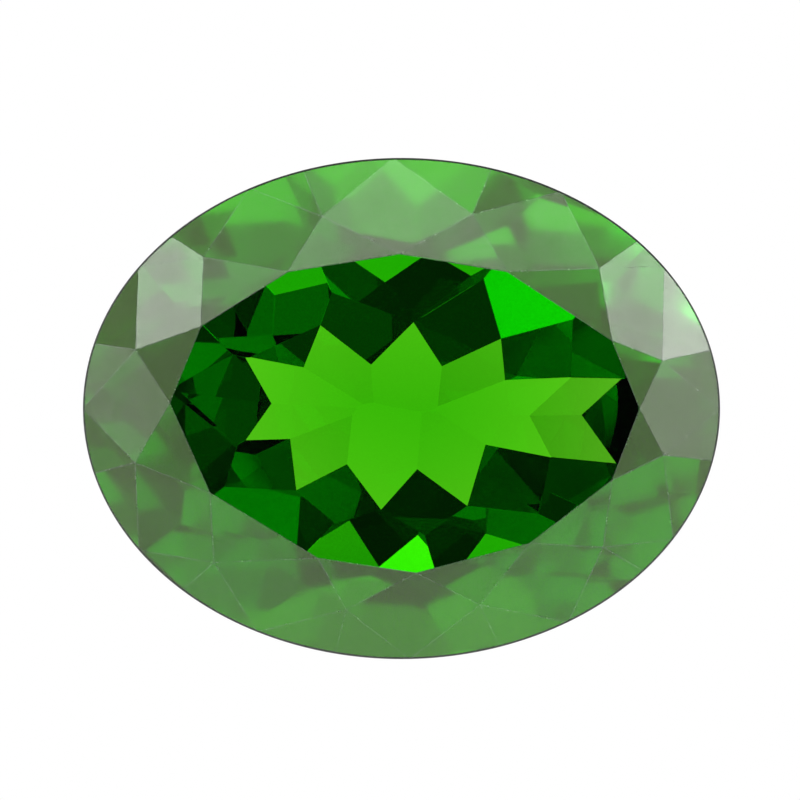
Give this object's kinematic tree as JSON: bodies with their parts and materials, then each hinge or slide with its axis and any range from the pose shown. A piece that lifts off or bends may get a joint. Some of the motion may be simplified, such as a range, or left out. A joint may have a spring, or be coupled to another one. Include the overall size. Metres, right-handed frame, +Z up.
{
  "type": "faceted chrome diopside",
  "caption": "Oval brilliant-cut green gemstone with a flat table, a faceted crown, a thin smooth girdle and a deep faceted pavilion, lying on one facet.",
  "frame": {"origin": "on the ground under the middle of the stone's box, at the level of the facet that it lies on", "axes": "+X along the stone's length, +Z up from the facet that it lies on; the table leans towards -Y"},
  "size_m": [0.009, 0.0054, 0.0059],
  "materials": {
    "chrome_diopside": "polished, transparent, deep green"
  },
  "bodies": {
    "root": {"diopside": "chrome_diopside"}
  },
  "joints": []
}
